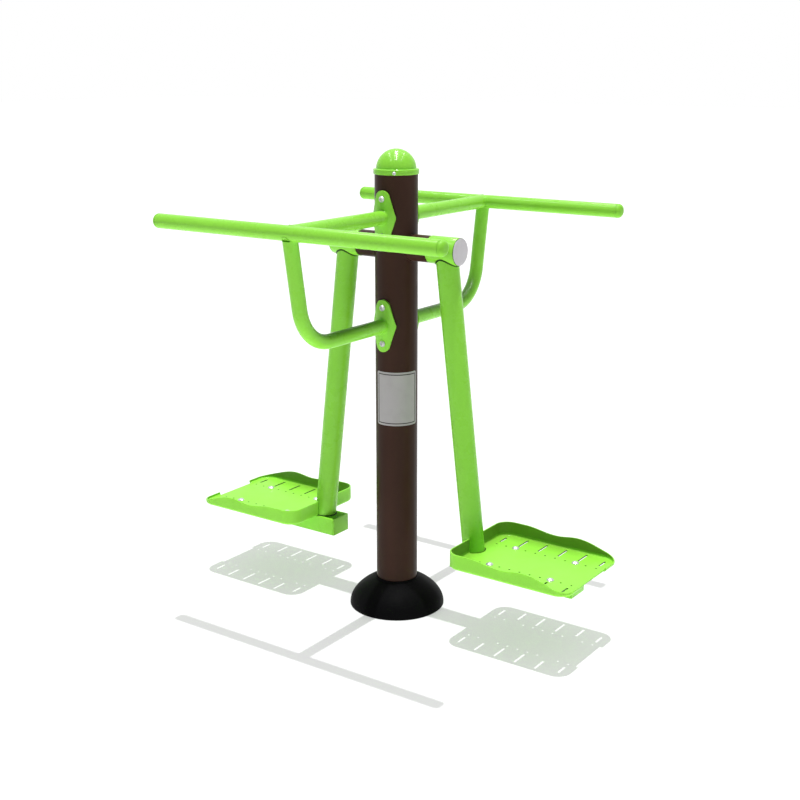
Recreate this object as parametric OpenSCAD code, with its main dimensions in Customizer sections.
// Outdoor air walker: one ground post, two pendulum arms that each carry one wide foot tray,
// and a T-shaped hand bar in front of the post and behind it.
// Origin at the centre of the post on the ground, X along the cross tube, Z up, sizes in millimetres.

/* [Post] */
// Outer diameter of the main post
post_d = 114; // [104:1:124]
// Wall of the main post
post_wall = 4; // [3:0.5:6]
// Height of the top of the post tube above the ground
post_top = 1213; // [1195:1:1300]

/* [Base] */
// Diameter of the round plate at the foot of the post
plate_d = 220; // [212:1:240]
// Thickness of the foot plate
plate_t = 10; // [8:1:16]
// Diameter of the circle that the anchor holes lie on
anchor_pcd = 170; // [160:1:180]
// Diameter of each anchor hole
anchor_d = 18; // [12:1:22]
// Height of the gussets above the foot plate
gusset_h = 46; // [25:1:48]
// Thickness of a gusset
gusset_t = 6; // [4:1:10]
// Diameter of the bell-shaped cover over the foot plate
cover_d = 266; // [260:1:300]
// Height of the cover
cover_h = 84; // [82:1:110]
// Wall of the cover
cover_wall = 3; // [2:0.5:4]

/* [Cap] */
// Height of the rim that grips the post
rim_h = 13.5; // [12:0.5:24]
// Wall of the cap
cap_wall = 2.6; // [2:0.2:4]
// Diameter of the dome
dome_d = 106; // [90:1:112]
// Number of screws round the rim
cap_screw_count = 3; // [2:1:6]
// Diameter of a cap screw's head
cap_screw_head_d = 9; // [6:0.5:9.5]

/* [Hand bars] */
// Height of the hand bars and of their upper tubes
bar_z = 1095; // [1085:1:1110]
// Distance from the post's axis to a hand bar
bar_reach = 434; // [400:1:480]
// Length of a hand bar with its end plugs
bar_len = 880; // [700:5:1000]
// Diameter of the bar, the upper tube and the bent tube
bar_d = 38; // [34:1:42]
// Wall of the bar, the upper tube and the bent tube
bar_wall = 2.5; // [2:0.5:4]
// Height of the bent tube's lower leg
low_z = 811; // [780:1:830]
// Radius of the bent tube's bend
bend_r = 115; // [90:1:130]
// Slant of the bent tube's hanging leg from the vertical, in degrees
leg_slant = 9.5; // [4:0.5:14]
// How far an end plug's rounded end stands out of the bar
plug_out = 13; // [8:1:16]

/* [Bar flanges] */
// Thickness of the curved flange plates
flange_t = 8; // [4:0.5:10]
// Spacing of the two bolts of a flange plate
flange_bolt_gap = 96; // [90:1:104]
// Radius of a flange plate's rounded ends
flange_end_r = 22; // [18:1:26]
// Width of a flange plate across its side tips
flange_w = 74; // [66:1:86]
// Radius of a flange plate's side tips
flange_tip_r = 14; // [6:1:16]
// Thread diameter of the flange bolts
flange_bolt_d = 10; // [8:1:12]

/* [Pivot] */
// Height of the swing axis
pivot_z = 1016; // [990:1:1030]
// Swing of a tray to each side of rest, in degrees
swing = 40; // [20:1:45]
// Diameter of the cross tube through the post
cross_d = 70; // [68:1:74]
// Wall of the cross tube
cross_wall = 6; // [4:0.5:8]
// Length of the cross tube
cross_len = 222; // [190:2:260]
// Gap between the cross tube and a pivot sleeve
side_gap = 2; // [1.5:0.1:3]
// Outer diameter of a pivot sleeve
sleeve_d = 72; // [70:1:78]
// Length of a pivot sleeve
sleeve_len = 86; // [82:1:110]
// Diameter of the axle
axle_d = 30; // [28:0.5:32]
// Outer diameter of a ball bearing
bearing_d = 62; // [60:0.5:64]
// Width of a ball bearing
bearing_w = 16; // [14:0.5:18]
// Thickness of the disc that closes a sleeve
disc_t = 2; // [1.5:0.5:4]

/* [Arm] */
// Distance along the swing axis from a sleeve's outer end to the arm's centre line
arm_set = 41; // [38:0.5:46]
// Outer diameter of an arm tube
arm_d = 60; // [48:1:64]
// Wall of an arm tube
arm_wall = 3; // [2:0.5:5]
// Outward lean of an arm from the vertical, in degrees
arm_lean = 6.9; // [4:0.1:10]
// Width of the beam under a tray
beam_w = 70; // [66:1:80]
// Height of the beam under a tray
beam_h = 50; // [40:1:60]
// Wall of the beam and thickness of its end plates
beam_wall = 3; // [2:0.5:5]
// Length of the beam
beam_len = 370; // [340:1:390]
// How far the beam reaches inwards from the arm's centre line
beam_stub = 55; // [45:1:70]
// Height of the beam's top face above the ground
beam_top = 214; // [180:1:260]

/* [Tray] */
// Length of a tray, along the cross tube
tray_len = 358; // [340:1:380]
// Width of a tray, along the swing
tray_w = 298; // [286:1:320]
// Radius of a tray's corners
corner_r = 40; // [30:1:45]
// Thickness of the tray's sheet
sheet_t = 4; // [3:0.5:5]
// Outer radius of the bend between the floor and the skirt
fold_r = 8; // [6:0.5:10]
// Height of the skirt at the arm and along the first wave
skirt_h = 43.5; // [38:0.5:55]
// Height of the skirt in the dip between the two waves
dip_h = 33.5; // [26:0.5:37]
// Height of the skirt at the second wave
crest_h = 40; // [38:0.5:50]
// Height of the low lip round the outer corners
lip_h = 11; // [9:0.5:16]
// Gap between the two corner lips
lip_gap = 136; // [110:1:160]
// Spacing of the drain slots
slot_pitch = 60; // [54:1:62]
// Width of a drain slot
slot_w = 5.5; // [4:0.5:8]
// Diameter of the small drain holes
drain_d = 5; // [4:0.5:8]
// Spacing of the two rows of small holes
drain_row_gap = 136; // [128:1:150]
// Thread diameter of the tray bolts
tray_bolt_d = 8; // [6:1:10]

/* [Label place] */
// Width of the bare label plate round the post
label_w = 124; // [90:1:140]
// Height of the label plate
label_h = 148; // [100:1:180]
// Height of the label plate's middle above the ground
label_z = 611; // [400:1:660]

/* [Hidden] */
$fn = 72;

green = "#8fd83f";
brown = "#3b2a22";
black = "#141414";
bright = "#d9dadc";
steel = "#8d9096";
grey = "#b9b9bd";

// Overrun of a cut past the face that it opens
over = 2;
// Gap of a fixed fit, such as a race on its axle
fit_gap = 0.02;
// Gap between a welded or clamped piece and the round face it follows
seat_gap = 0.1;
// Gap all round a bolt in its hole
bolt_gap = 0.5;

post_r = post_d / 2;
post_bore_r = post_r - post_wall;
flange_in_r = post_r + seat_gap;
flange_out_r = flange_in_r + flange_t;
bar_r = bar_d / 2;
bar_bore_r = bar_r - bar_wall;

// Cap
cap_gap = 0.3;
cap_rim_r = post_r + cap_gap + cap_wall;
cap_top_t = 4;
rim_chamfer = 1.5;
rim_top = post_top + cap_top_t;
cap_screw_d = 4;
cap_screw_len = 14;
cap_screw_head_h = 2.4;
cap_screw_turn = -60;

// Foot
gusset_reach = 42;
gusset_nose = 10;
cover_gap = 0.3;
cover_neck_h = 5;
cover_neck_wall = 3;
cover_steps = 20;
// Exponents that shape the bell of the cover
bell_round = 2.1;
bell_fall = 0.91;
plate_edge = 1.5;

// Pivot, measured outwards from the post's axis along X
cross_half = cross_len / 2;
cross_r = cross_d / 2;
cross_bore_r = cross_r - cross_wall;
plug_t = 14;
sleeve_in = cross_half + side_gap;
sleeve_out = sleeve_in + sleeve_len;
arm_x = sleeve_out - arm_set;
sleeve_r = sleeve_d / 2;
axle_r = axle_d / 2;
bearing_r = bearing_d / 2;
race_wall = (bearing_r - axle_r) * 5 / 16;
ball_path_r = (bearing_r + axle_r) / 2;
ball_r = (bearing_r - axle_r) * 0.298;
ball_gap = 0.3;
ball_count = 9;
cage_t = 2.6;
cage_w = bearing_w * 0.6;
recess = 10;
disc_plug_len = 7;
disc_plug_wall = 3.5;
race_shoulder = 3;
bearing_in = sleeve_in + recess;
washer_t = 2.5;
nut_t = 10;
nut_inset = 3.5;
bearing_out = sleeve_out - nut_inset - nut_t - washer_t - bearing_w;
thread_r = axle_r - 3;
axle_end = sleeve_out - nut_inset + 2;
axle_nut_af = 36;
snap_t = 2;
snap_deep = 1.5;
snap_ring_w = 5;
snap_open = 16;
washer_gap = 0.3;
dust_washer_out_r = cross_r - 1;
collar_r = axle_r + 4;
collar_gap = 1;
stop_ring_t = 7;
stop_ring_in_r = collar_r + 3;
key_w = 10;
key_top_r = bearing_r - 4.5;
key_play = 0.5;
stop_gap_angle = swing + asin(key_w / 2 / stop_ring_in_r) + key_play;
disc_r = sleeve_r - 1;

// Arm and beam
foot_x = arm_x + tan(arm_lean) * (pivot_z - beam_top);
beam_in = foot_x - beam_stub;
beam_bottom = beam_top - beam_h;

// Tray
tray_set = 1.5;
tray_in = foot_x + tray_set;
tray_mid = tray_in + tray_len / 2;
arm_gap = 1;
wave_points = 64;
fold_steps = 6;
// Stations of the skirt's waves along the tray, as shares of its length
wave_start_share = 0.205;
dip_share = 0.47;
crest_share = 0.652;
lip_share = 1.04;
slot_count = 6;
drain_count = 11;
bolt_skip = 3;
drain_pitch = slot_pitch / 2;
slot_inner = 84;
slot_outer = 137;
end_slot_inner = 87;
end_slot_outer = 122;
lug_len = 50;
lug_t = 6;
lug_rib_t = 5;
lug_rib_h = 24;
lug_edge = 22;
lug_reach = drain_row_gap / 2 + lug_edge - beam_w / 2;
tray_bolt_len = 22;
tray_head_d = 20;
tray_head_h = 5.5;
tray_nut_af = 13;
tray_nut_t = 6.5;

// Bar flanges
flange_head_d = 17;
flange_head_h = 6;
flange_bolt_len = 23;
flange_nut_af = 17;
flange_nut_t = 8;
flange_nut_seat = sqrt(post_bore_r ^ 2 - (flange_nut_af / 2 / cos(30)) ^ 2) - seat_gap;
weld_gap = 0.1;
// How far the bend runs into the straight legs, in degrees, and how much thinner its wall is on each side
bend_lap = 1;
bend_thin = 0.2;
plug_in = 22;

// Label place
label_t = 0.8;
label_r = 6;
label_turn = 36;

// Lays the children's Z axis along +X, starting at x on the swing axis.
module on_axis(x) {
    translate([x, 0, pivot_z])
        rotate([0, 90, 0])
            children();
}

// Repeats the children for the +X side and, mirrored, for the -X side.
module both_sides() {
    children();
    mirror([1, 0, 0])
        children();
}

// A ring along Z from 0 to h.
module ring(h, out_r, in_r) {
    difference() {
        cylinder(h = h, r = out_r);
        translate([0, 0, -over])
            cylinder(h = h + 2 * over, r = in_r);
    }
}

// A straight cylinder from point a towards direction angles, used for tubes that lean in the XZ plane.
module leaning(x, z, lean, h, r) {
    translate([x, 0, z])
        rotate([0, 180 - lean, 0])
            cylinder(h = h, r = r);
}

// A bolt along +Z: domed head above 0, shank below 0.
module dome_bolt(d, head_d, head_h, len) {
    dome_r = (head_d ^ 2 / 4 + head_h ^ 2) / (2 * head_h);
    intersection() {
        translate([0, 0, head_h - dome_r])
            sphere(r = dome_r, $fn = 48);
        cylinder(h = head_h + over, d = head_d);
    }
    translate([0, 0, -len])
        cylinder(h = len, d = d);
}

// A hexagon nut along +Z from 0.
module hex_nut(d, af, t) {
    difference() {
        cylinder(h = t, r = af / 2 / cos(30), $fn = 6);
        translate([0, 0, -over])
            cylinder(h = t + 2 * over, r = d / 2 + fit_gap);
    }
}

// Points of a band stretched round circles, each [x, y, r].
function band(circles, step) = [
    for (a = [0:step:360 - step])
        let (
            n = [cos(a), sin(a)],
            reach = [for (c = circles) c[0] * n[0] + c[1] * n[1] + c[2]],
            c = circles[search(max(reach), reach)[0]]
        )
        [c[0] + c[2] * n[0], c[1] + c[2] * n[1]]
];

// Main post, with holes for the cross tube, the flange bolts and the cap screws.
module main_post() {
    color(brown)
        difference() {
            translate([0, 0, plate_t])
                ring(post_top - plate_t, post_r, post_bore_r);
            on_axis(-post_d)
                cylinder(h = 2 * post_d, r = cross_r + seat_gap);
            for (z = flange_bolt_heights())
                translate([0, post_d, z])
                    rotate([90, 0, 0])
                        cylinder(h = 2 * post_d, d = flange_bolt_d + 2 * bolt_gap);
            at_cap_screws(post_bore_r - over)
                cylinder(h = post_wall + 2 * over, r = cap_screw_d / 2 + fit_gap);
        }
}

function flange_bolt_heights() = [
    for (z = [bar_z, low_z])
        for (side = [-1, 1])
            z + side * flange_bolt_gap / 2
];

// Round foot plate with its anchor holes.
module base_plate() {
    color(brown)
        difference() {
            rotate_extrude()
                polygon([
                    [0, 0],
                    [plate_d / 2, 0],
                    [plate_d / 2, plate_t - plate_edge],
                    [plate_d / 2 - plate_edge, plate_t],
                    [0, plate_t]
                ]);
            for (a = [45:90:315])
                rotate([0, 0, a])
                    translate([anchor_pcd / 2, 0, -over])
                        cylinder(h = plate_t + 2 * over, d = anchor_d);
        }
}

// Four gussets between the foot plate and the post.
module base_gussets() {
    color(brown)
        for (a = [0:90:270])
            rotate([0, 0, a])
                translate([post_r + seat_gap, gusset_t / 2, plate_t])
                    rotate([90, 0, 0])
                        linear_extrude(gusset_t)
                            polygon([
                                [0, 0],
                                [gusset_reach, 0],
                                [gusset_reach, gusset_nose],
                                [gusset_nose, gusset_h],
                                [0, gusset_h]
                            ]);
}

// How much of the bell's spread is left at share t of its height.
function bell_share(t) = (1 - min(1, t) ^ bell_round) ^ bell_fall;

// Radius of the bell's outside at height z.
function bell_r(z, foot, top) =
    post_r + cover_gap + top + (foot - post_r - cover_gap - top) * bell_share(z / (cover_h - cover_neck_h));

// Bell-shaped cover over the foot plate, with a short neck round the post.
module base_cover() {
    bell_h = cover_h - cover_neck_h;
    foot = cover_d / 2;
    neck_r = post_r + cover_gap + cover_neck_wall;
    outside = [
        for (i = [0:cover_steps])
            let (z = bell_h * sin(90 * i / cover_steps))
            [bell_r(z, foot, cover_neck_wall), z]
    ];
    inside = [
        for (i = [0:cover_steps])
            let (z = (bell_h - cover_wall) * sin(90 * i / cover_steps))
            [
                post_r + cover_gap + (foot - cover_wall - post_r - cover_gap)
                    * bell_share(z / (bell_h - cover_wall)),
                z
            ]
    ];
    back = [for (i = [cover_steps:-1:0]) inside[i]];
    color(black)
        rotate_extrude()
            polygon(concat(
                outside,
                [[neck_r, cover_h], [post_r + cover_gap, cover_h]],
                back
            ));
}

// Puts the children's Z axis on the radii of the cap screws, starting at radius r.
module at_cap_screws(r) {
    for (i = [0:cap_screw_count - 1])
        rotate([0, 0, cap_screw_turn + 360 * i / cap_screw_count])
            translate([r, 0, rim_top - rim_h * 0.62])
                rotate([0, 90, 0])
                    children();
}

// Domed cap with a rim that grips the top of the post.
module post_cap() {
    color(green)
        difference() {
            union() {
                rotate_extrude()
                    polygon([
                        [0, rim_top - rim_h],
                        [cap_rim_r - rim_chamfer, rim_top - rim_h],
                        [cap_rim_r, rim_top - rim_h + rim_chamfer],
                        [cap_rim_r, rim_top - rim_chamfer],
                        [cap_rim_r - rim_chamfer, rim_top],
                        [0, rim_top]
                    ]);
                intersection() {
                    translate([0, 0, rim_top - over])
                        sphere(d = dome_d, $fn = 96);
                    translate([0, 0, rim_top - over])
                        cylinder(h = dome_d, d = 2 * dome_d);
                }
            }
            translate([0, 0, rim_top - rim_h - over])
                cylinder(h = rim_h - cap_top_t + over, r = post_r + cap_gap);
            translate([0, 0, rim_top - over])
                sphere(d = dome_d - 2 * cap_wall, $fn = 96);
            at_cap_screws(post_r)
                cylinder(h = cap_wall + cap_gap + over, r = cap_screw_d / 2 + fit_gap);
        }
}

// Small screws through the rim into the post.
module cap_screws() {
    color(bright)
        at_cap_screws(cap_rim_r)
            dome_bolt(cap_screw_d, cap_screw_head_d, cap_screw_head_h, cap_screw_len);
}

// Bare curved plate where the photographed object has its label.
module label_plate() {
    corner_x = (post_r + label_t) * sin(label_w / 2 / post_r * 180 / PI) - label_r;
    corner_z = label_h / 2 - label_r;
    corners = [for (sx = [-1, 1]) for (sz = [-1, 1]) [sx * corner_x, sz * corner_z, label_r]];
    color(grey)
        rotate([0, 0, label_turn])
            intersection() {
                translate([0, 0, label_z - label_h])
                    ring(2 * label_h, post_r + seat_gap + label_t, post_r + seat_gap);
                translate([0, 0, label_z])
                    rotate([90, 0, 0])
                        linear_extrude(post_d)
                            polygon(band(corners, 10));
            }
}

// Cross tube through the post.
module cross_tube() {
    color(brown)
        on_axis(-cross_half)
            ring(cross_len, cross_r, cross_bore_r);
}

// Discs that close the cross tube and carry the axle.
module cross_plugs() {
    color(brown)
        both_sides()
            on_axis(cross_half - plug_t)
                ring(plug_t, cross_bore_r - seat_gap, axle_r + fit_gap);
}

// One long axle through the cross tube, stepped down for the nuts.
module pivot_axle() {
    shoulder = bearing_out + bearing_w - fit_gap;
    color(steel) {
        on_axis(-shoulder)
            cylinder(h = 2 * shoulder, r = axle_r);
        both_sides()
            on_axis(shoulder)
                cylinder(h = axle_end - shoulder, r = thread_r);
    }
}

// Collars on the axle, each with the key that limits the swing.
module stop_collars() {
    key_len = stop_ring_t;
    color(steel)
        both_sides() {
            on_axis(cross_half)
                ring(bearing_in - cross_half, collar_r, axle_r + fit_gap);
            translate([sleeve_in + (recess - stop_ring_t) / 2, -key_w / 2, pivot_z + collar_r - over])
                cube([key_len, key_w, key_top_r - collar_r + over]);
        }
}

// Washers that keep dirt out of the gap beside each sleeve.
module dust_washers() {
    color(black)
        both_sides()
            on_axis(cross_half)
                ring(side_gap - washer_gap, dust_washer_out_r, collar_r + collar_gap);
}

// Starting places of the two bearings of one side.
function bearing_places() = [bearing_in, bearing_out];

// The ring-shaped groove that the balls run in, about the middle of a bearing.
module ball_groove() {
    translate([0, 0, bearing_w / 2])
        rotate_extrude()
            translate([ball_path_r, 0])
                circle(r = ball_r + ball_gap, $fn = 48);
}

// Inner races of the four bearings.
module inner_races() {
    color(steel)
        both_sides()
            for (x = bearing_places())
                on_axis(x)
                    difference() {
                        ring(bearing_w, axle_r + race_wall, axle_r + fit_gap);
                        ball_groove();
                    }
}

// Balls of one bearing, drawn bigger by grow for the cage's pockets.
module ball_set(grow) {
    for (i = [0:ball_count - 1])
        rotate([0, 0, 360 * i / ball_count])
            translate([ball_path_r, 0, bearing_w / 2])
                sphere(r = ball_r + grow, $fn = 24);
}

// Balls of the four bearings.
module bearing_balls() {
    color(bright)
        both_sides()
            for (x = bearing_places())
                on_axis(x)
                    ball_set(0);
}

// Cages that space the balls.
module bearing_cages() {
    color(steel)
        both_sides()
            for (x = bearing_places())
                on_axis(x)
                    difference() {
                        translate([0, 0, (bearing_w - cage_w) / 2])
                            ring(cage_w, ball_path_r + cage_t / 2, ball_path_r - cage_t / 2);
                        ball_set(ball_gap);
                    }
}

// Tubes on the axle between the inner races.
module race_spacers() {
    color(steel)
        both_sides()
            on_axis(bearing_in + bearing_w)
                ring(bearing_out - bearing_in - bearing_w, axle_r + race_wall, axle_r + fit_gap);
}

// Washers under the axle nuts.
module axle_washers() {
    color(steel)
        both_sides()
            on_axis(bearing_out + bearing_w)
                ring(washer_t, axle_r + race_wall, thread_r + fit_gap);
}

// Thin nuts at the ends of the axle.
module axle_nuts() {
    color(steel)
        both_sides()
            on_axis(bearing_out + bearing_w + washer_t)
                hex_nut(2 * thread_r, axle_nut_af, nut_t);
}

// One hand bar at y = side * bar_reach.
module hand_bar(side) {
    tube_len = bar_len - 2 * plug_out;
    color(green)
        translate([-tube_len / 2, side * bar_reach, bar_z])
            rotate([0, 90, 0])
                ring(tube_len, bar_r, bar_bore_r);
}

// Rounded plugs in the ends of both hand bars.
module bar_plugs() {
    plug_start = bar_len / 2 - plug_out;
    plug_round = min(plug_out, bar_r) * 0.9;
    half = [
        [0, 0],
        [bar_r, 0],
        for (a = [0:15:90])
            [bar_r - plug_round * (1 - cos(a)), plug_out - plug_round * (1 - sin(a))],
        [0, plug_out]
    ];
    color(green)
        both_sides()
            for (side = [-1, 1])
                translate([plug_start, side * bar_reach, bar_z])
                    rotate([0, 90, 0]) {
                        rotate_extrude()
                            polygon(half);
                        translate([0, 0, -plug_in])
                            cylinder(h = plug_in + over, r = bar_bore_r - seat_gap);
                    }
}

// Solid rod that follows the upper tube, out to the hand bar.
module upper_rod(r) {
    translate([0, 0, bar_z])
        rotate([90, 0, 0])
            cylinder(h = bar_reach, r = r);
}

// Tube that follows the slanted leg, the bend and the lower leg; the bend's wall is a little thinner.
module bent_run() {
    turn = 90 - leg_slant;
    drop = bar_z - low_z;
    trim = bend_r * tan(turn / 2);
    leg_len = drop / cos(leg_slant) - trim;
    bend_y = bar_reach - drop * tan(leg_slant) - trim;
    translate([0, -bar_reach, bar_z])
        rotate([180 + leg_slant, 0, 0])
            ring(leg_len, bar_r, bar_bore_r);
    translate([0, -bend_y, low_z + bend_r])
        rotate([0, 90, 0])
            rotate([0, 0, -turn - bend_lap])
                rotate_extrude(angle = turn + 2 * bend_lap)
                    translate([bend_r, 0])
                        difference() {
                            circle(r = bar_r - bend_thin);
                            circle(r = bar_bore_r + bend_thin);
                        }
    translate([0, 0, low_z])
        rotate([90, 0, 0])
            ring(bend_y, bar_r, bar_bore_r);
}

// The hand bar as a cutter that shapes the tube ends which meet it.
module bar_cutter() {
    translate([-bar_d, -bar_reach, bar_z])
        rotate([0, 90, 0])
            cylinder(h = 2 * bar_d, r = bar_r + weld_gap);
}

// The curved flange plates' outside as a cutter for the tube ends.
module flange_cutter() {
    cylinder(h = post_top, r = flange_out_r + weld_gap);
}

// Upper tube in front of the post, from the flange to the bar.
module upper_tube() {
    color(green)
        difference() {
            upper_rod(bar_r);
            upper_rod(bar_bore_r);
            bar_cutter();
            flange_cutter();
        }
}

// Bent tube in front of the post, from the bar down and back to the lower flange.
module bent_tube() {
    color(green)
        difference() {
            bent_run();
            bar_cutter();
            upper_rod(bar_r + weld_gap);
            flange_cutter();
        }
}

// Curved rhombic plate that hugs the front of the post at height z.
module flange_plate(z) {
    tip_x = flange_w / 2 - flange_tip_r;
    outline = band([
        [0, flange_bolt_gap / 2, flange_end_r],
        [0, -flange_bolt_gap / 2, flange_end_r],
        [tip_x, 0, flange_tip_r],
        [-tip_x, 0, flange_tip_r]
    ], 6);
    color(green)
        translate([0, 0, z])
            difference() {
                intersection() {
                    translate([0, 0, -flange_bolt_gap])
                        ring(2 * flange_bolt_gap, flange_out_r, flange_in_r);
                    rotate([90, 0, 0])
                        linear_extrude(2 * post_d)
                            polygon(outline);
                }
                for (side = [-1, 1])
                    translate([0, 0, side * flange_bolt_gap / 2])
                        rotate([90, 0, 0])
                            cylinder(h = 2 * post_d, d = flange_bolt_d + 2 * bolt_gap);
            }
}

// Repeats the children at every flange bolt, their Z axis pointing out of the post at distance out.
module at_flange_bolts(out) {
    for (turn = [0, 180])
        for (z = flange_bolt_heights())
            rotate([0, 0, turn])
                translate([0, -out, z])
                    rotate([90, 0, 0])
                        children();
}

// Dome-headed bolts of the four flange plates.
module flange_bolts() {
    color(bright)
        at_flange_bolts(flange_out_r)
            dome_bolt(flange_bolt_d, flange_head_d, flange_head_h, flange_bolt_len);
}

// Weld nuts inside the post for the flange bolts.
module flange_nuts() {
    color(steel)
        at_flange_bolts(flange_nut_seat)
            mirror([0, 0, 1])
                hex_nut(flange_bolt_d, flange_nut_af, flange_nut_t);
}

// Pivot sleeve of the right arm, bored for two bearings.
module sleeve() {
    color(green)
        difference() {
            on_axis(sleeve_in)
                cylinder(h = sleeve_len, r = sleeve_r);
            on_axis(sleeve_in - over)
                cylinder(h = sleeve_len + 2 * over, r = bearing_r - race_shoulder);
            on_axis(sleeve_in - over)
                cylinder(h = bearing_in + bearing_w - sleeve_in + over, r = bearing_r + fit_gap);
            on_axis(bearing_out)
                cylinder(h = sleeve_out - bearing_out + over, r = bearing_r + fit_gap);
            on_axis(bearing_out + bearing_w)
                cylinder(h = snap_t + fit_gap, r = bearing_r + snap_deep + fit_gap);
        }
}

// Flat disc that closes the sleeve, with a short plug in the bore.
module disc() {
    color(grey) {
        on_axis(sleeve_out)
            cylinder(h = disc_t, r = disc_r);
        on_axis(sleeve_out - disc_plug_len)
            ring(disc_plug_len, bearing_r - fit_gap, bearing_r - disc_plug_wall);
    }
}

// Outer races of the right arm's two bearings.
module outer_races() {
    color(steel)
        for (x = bearing_places())
            on_axis(x)
                difference() {
                    ring(bearing_w, bearing_r, bearing_r - race_wall);
                    ball_groove();
                }
}

// Open snap ring that holds the outer bearing in the sleeve.
module snap_ring() {
    color(steel)
        on_axis(bearing_out + bearing_w)
            difference() {
                ring(snap_t, bearing_r + snap_deep, bearing_r + snap_deep - snap_ring_w);
                translate([0, -snap_open / 2, -over])
                    cube([bearing_d, snap_open, snap_t + 2 * over]);
            }
}

// Ring in the sleeve whose notch meets the key at both ends of the swing.
module stop_ring() {
    notch_r = key_top_r + collar_gap;
    span = [for (a = [-stop_gap_angle:stop_gap_angle / 12:stop_gap_angle])
        [-notch_r * cos(a), notch_r * sin(a)]];
    color(steel)
        on_axis(sleeve_in + (recess - stop_ring_t) / 2)
            difference() {
                ring(stop_ring_t, bearing_r, stop_ring_in_r);
                translate([0, 0, -over])
                    linear_extrude(stop_ring_t + 2 * over)
                        polygon(concat([[0, 0]], span));
            }
}

// Leaning tube from the sleeve down to the beam.
module arm_tube() {
    arm_len = (pivot_z - beam_bottom) / cos(arm_lean) + arm_d;
    color(green)
        difference() {
            leaning(arm_x, pivot_z, arm_lean, arm_len, arm_d / 2);
            leaning(arm_x, pivot_z, arm_lean, arm_len, arm_d / 2 - arm_wall);
            on_axis(sleeve_in - over)
                cylinder(h = sleeve_len + 2 * over, r = sleeve_r + weld_gap);
            translate([foot_x - arm_len, -arm_d, beam_top - 2 * arm_d])
                cube([2 * arm_len, 2 * arm_d, 2 * arm_d]);
        }
}

// Rectangular tube under the tray.
module beam() {
    inner_len = beam_len - 2 * beam_wall;
    color(green)
        translate([beam_in + beam_wall, 0, beam_bottom])
            difference() {
                translate([0, -beam_w / 2, 0])
                    cube([inner_len, beam_w, beam_h]);
                translate([-over, -beam_w / 2 + beam_wall, beam_wall])
                    cube([inner_len + 2 * over, beam_w - 2 * beam_wall, beam_h - 2 * beam_wall]);
            }
}

// Plates that close the beam's ends.
module beam_ends() {
    color(green)
        for (x = [beam_in, beam_in + beam_len - beam_wall])
            translate([x, -beam_w / 2, beam_bottom])
                cube([beam_wall, beam_w, beam_h]);
}

// Repeats the children at the four tray bolts, at height z.
module at_tray_bolts(z) {
    for (sx = [-1, 1])
        for (sy = [-1, 1])
            translate([tray_mid + sx * bolt_skip * drain_pitch, sy * drain_row_gap / 2, z])
                children();
}

// Ribbed lugs on the beam's sides that the tray is bolted to.
module lugs() {
    color(green)
        difference() {
            for (sx = [-1, 1])
                for (turn = [0, 1])
                    mirror([0, turn, 0])
                        translate([tray_mid + sx * bolt_skip * drain_pitch, beam_w / 2, beam_top - lug_t]) {
                            translate([-lug_len / 2, 0, 0])
                                cube([lug_len, lug_reach, lug_t]);
                            for (end = [-1, 1])
                                translate([end * (lug_len - lug_rib_t) / 2 - lug_rib_t / 2, 0, 0])
                                    rotate([90, 0, 90])
                                        linear_extrude(lug_rib_t)
                                            polygon([[0, 0], [lug_reach, 0], [0, -lug_rib_h]]);
                        }
            at_tray_bolts(beam_top - lug_t - over)
                cylinder(h = lug_t + 2 * over, d = tray_bolt_d + 2 * bolt_gap);
        }
}

// Smooth step from 0 to 1.
function ease(t) = (1 - cos(180 * t)) / 2;

// Smooth change from a to b while s goes from s0 to s1.
function glide(s, s0, s1, a, b) = a + (b - a) * ease((s - s0) / (s1 - s0));

// Height of the skirt's top edge at share s of the way along its path.
function wave(s) =
    s < wave_start_share ? skirt_h
    : s < dip_share ? glide(s, wave_start_share, dip_share, skirt_h, dip_h)
    : s < crest_share ? glide(s, dip_share, crest_share, dip_h, crest_h)
    : s < lip_share ? glide(s, crest_share, lip_share, crest_h, lip_h)
    : lip_h;

// Share of the path along the skirt that is reached at x, round the outer corner too.
function path_share(x) =
    x < tray_len - corner_r
        ? x / tray_len
        : (tray_len - corner_r
            + corner_r * asin(min(1, (x - tray_len + corner_r) / corner_r)) * PI / 180) / tray_len;

// Cross-section of the folded sheet: [0, 0] is outside and below, the floor goes towards -X.
function fold_section() = concat(
    [for (i = [0:fold_steps]) let (a = -90 + 90 * i / fold_steps)
        [fold_r * (cos(a) - 1), fold_r * (1 + sin(a))]],
    [[0, skirt_h], [-sheet_t, skirt_h]],
    [
        for (i = [0:fold_steps])
            let (a = -90 * i / fold_steps, r = fold_r - sheet_t)
            [r * cos(a) - fold_r, fold_r + r * sin(a)]
    ]
);

// Straight length of folded skirt, its outside facing +X, centred on Y.
module skirt_run(len) {
    translate([0, len / 2, 0])
        rotate([90, 0, 0])
            linear_extrude(len)
                polygon(fold_section());
}

// Quarter-round corner of folded skirt about the corner's centre, from +X to +Y.
module skirt_corner() {
    rotate_extrude(angle = 90)
        translate([corner_r, 0])
            polygon(fold_section());
}

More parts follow.
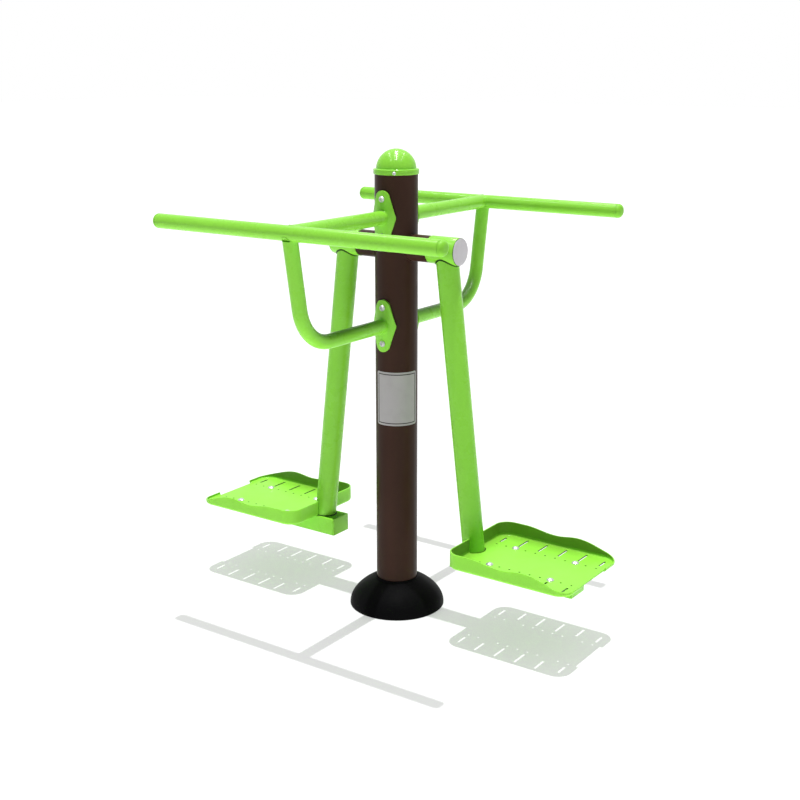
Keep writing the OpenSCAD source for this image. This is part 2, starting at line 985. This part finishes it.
// Pressed pan of the tray before its holes, from x = 0 at the inner end, underside at z = 0.
module tray_pan() {
    half_w = tray_w / 2;
    side_run = tray_len - 2 * corner_r;
    lip_run = half_w - corner_r - lip_gap / 2;
    // Floor inside the folds
    translate([fold_r, -half_w + corner_r, 0])
        cube([tray_len - 2 * fold_r, tray_w - 2 * corner_r, sheet_t]);
    translate([corner_r, -half_w + fold_r, 0])
        cube([side_run, tray_w - 2 * fold_r, sheet_t]);
    for (cx = [corner_r, tray_len - corner_r])
        for (cy = [-half_w + corner_r, half_w - corner_r])
            translate([cx, cy, 0])
                cylinder(h = sheet_t, r = corner_r - fold_r);
    // Inner wall, both sides, outer lips and the four corners
    mirror([1, 0, 0])
        skirt_run(tray_w - 2 * corner_r);
    for (side = [-1, 1])
        mirror([0, side < 0 ? 1 : 0, 0]) {
            translate([tray_len / 2, half_w, 0])
                rotate([0, 0, 90])
                    skirt_run(side_run);
            translate([tray_len, lip_gap / 2 + lip_run / 2, 0])
                skirt_run(lip_run);
            translate([tray_len - corner_r, half_w - corner_r, 0])
                skirt_corner();
            translate([corner_r, half_w - corner_r, 0])
                rotate([0, 0, 90])
                    skirt_corner();
        }
}

// Block whose top follows the waves of the skirt.
module wave_block() {
    top = [for (i = [0:wave_points]) let (x = tray_len * i / wave_points) [x, wave(path_share(x))]];
    translate([0, tray_w / 2 + over, 0])
        rotate([90, 0, 0])
            linear_extrude(tray_w + 2 * over)
                polygon(concat([[tray_len, -over], [0, -over]], top));
}

// Slot with round ends through the floor, from y0 to y1.
module floor_slot(y0, y1) {
    translate([0, 0, -over])
        linear_extrude(sheet_t + 2 * over) {
            translate([-slot_w / 2, y0 + slot_w / 2])
                square([slot_w, y1 - y0 - slot_w]);
            for (y = [y0 + slot_w / 2, y1 - slot_w / 2])
                translate([0, y])
                    circle(d = slot_w, $fn = 24);
        }
}

// Drain slots and small holes of the floor, about the tray's middle.
module floor_holes() {
    for (turn = [0, 1])
        mirror([0, turn, 0]) {
            for (i = [0:slot_count - 1]) {
                at_end = i == 0 || i == slot_count - 1;
                translate([(i - (slot_count - 1) / 2) * slot_pitch, 0, 0])
                    floor_slot(at_end ? end_slot_inner : slot_inner, at_end ? end_slot_outer : slot_outer);
            }
            for (i = [0:drain_count - 1]) {
                step = i - (drain_count - 1) / 2;
                bolted = abs(step) == bolt_skip;
                translate([step * drain_pitch, drain_row_gap / 2, -over])
                    cylinder(h = sheet_t + 2 * over,
                        d = bolted ? tray_bolt_d + 2 * bolt_gap : drain_d, $fn = 24);
            }
        }
}

// Foot tray: pressed sheet with a wavy skirt, open at its outer end and notched round the arm.
module tray() {
    color(green)
        difference() {
            translate([tray_in, 0, beam_top])
                intersection() {
                    tray_pan();
                    wave_block();
                }
            translate([tray_mid, 0, beam_top])
                floor_holes();
            leaning(arm_x, pivot_z, arm_lean, 2 * pivot_z, arm_d / 2 + arm_gap);
        }
}

// Dome-headed bolts of the tray.
module tray_bolts() {
    color(bright)
        at_tray_bolts(beam_top + sheet_t)
            dome_bolt(tray_bolt_d, tray_head_d, tray_head_h, tray_bolt_len);
}

// Nuts under the lugs.
module tray_nuts() {
    color(steel)
        at_tray_bolts(beam_top - lug_t - tray_nut_t)
            hex_nut(tray_bolt_d, tray_nut_af, tray_nut_t);
}

// Turns a front piece round to the back of the post.
module to_back() {
    rotate([0, 0, 180])
        children();
}

// Mirrors a right-hand piece to the left.
module to_left() {
    mirror([1, 0, 0])
        children();
}

main_post();
base_plate();
base_gussets();
base_cover();
post_cap();
cap_screws();
label_plate();
cross_tube();
cross_plugs();
pivot_axle();
stop_collars();
dust_washers();
inner_races();
bearing_balls();
bearing_cages();
race_spacers();
axle_washers();
axle_nuts();
hand_bar(-1);  // front_bar
hand_bar(1);  // back_bar
bar_plugs();
upper_tube();  // front_upper_tube
to_back() upper_tube();  // back_upper_tube
bent_tube();  // front_bent_tube
to_back() bent_tube();  // back_bent_tube
flange_plate(bar_z);  // front_upper_flange
flange_plate(low_z);  // front_lower_flange
to_back() flange_plate(bar_z);  // back_upper_flange
to_back() flange_plate(low_z);  // back_lower_flange
flange_bolts();
flange_nuts();
sleeve();  // right_sleeve
disc();  // right_disc
outer_races();  // right_outer_races
snap_ring();  // right_snap_ring
stop_ring();  // right_stop_ring
arm_tube();  // right_arm_tube
beam();  // right_beam
beam_ends();  // right_beam_ends
lugs();  // right_lugs
tray();  // right_tray
tray_bolts();  // right_tray_bolts
tray_nuts();  // right_tray_nuts
to_left() sleeve();  // left_sleeve
to_left() disc();  // left_disc
to_left() outer_races();  // left_outer_races
to_left() snap_ring();  // left_snap_ring
to_left() stop_ring();  // left_stop_ring
to_left() arm_tube();  // left_arm_tube
to_left() beam();  // left_beam
to_left() beam_ends();  // left_beam_ends
to_left() lugs();  // left_lugs
to_left() tray();  // left_tray
to_left() tray_bolts();  // left_tray_bolts
to_left() tray_nuts();  // left_tray_nuts
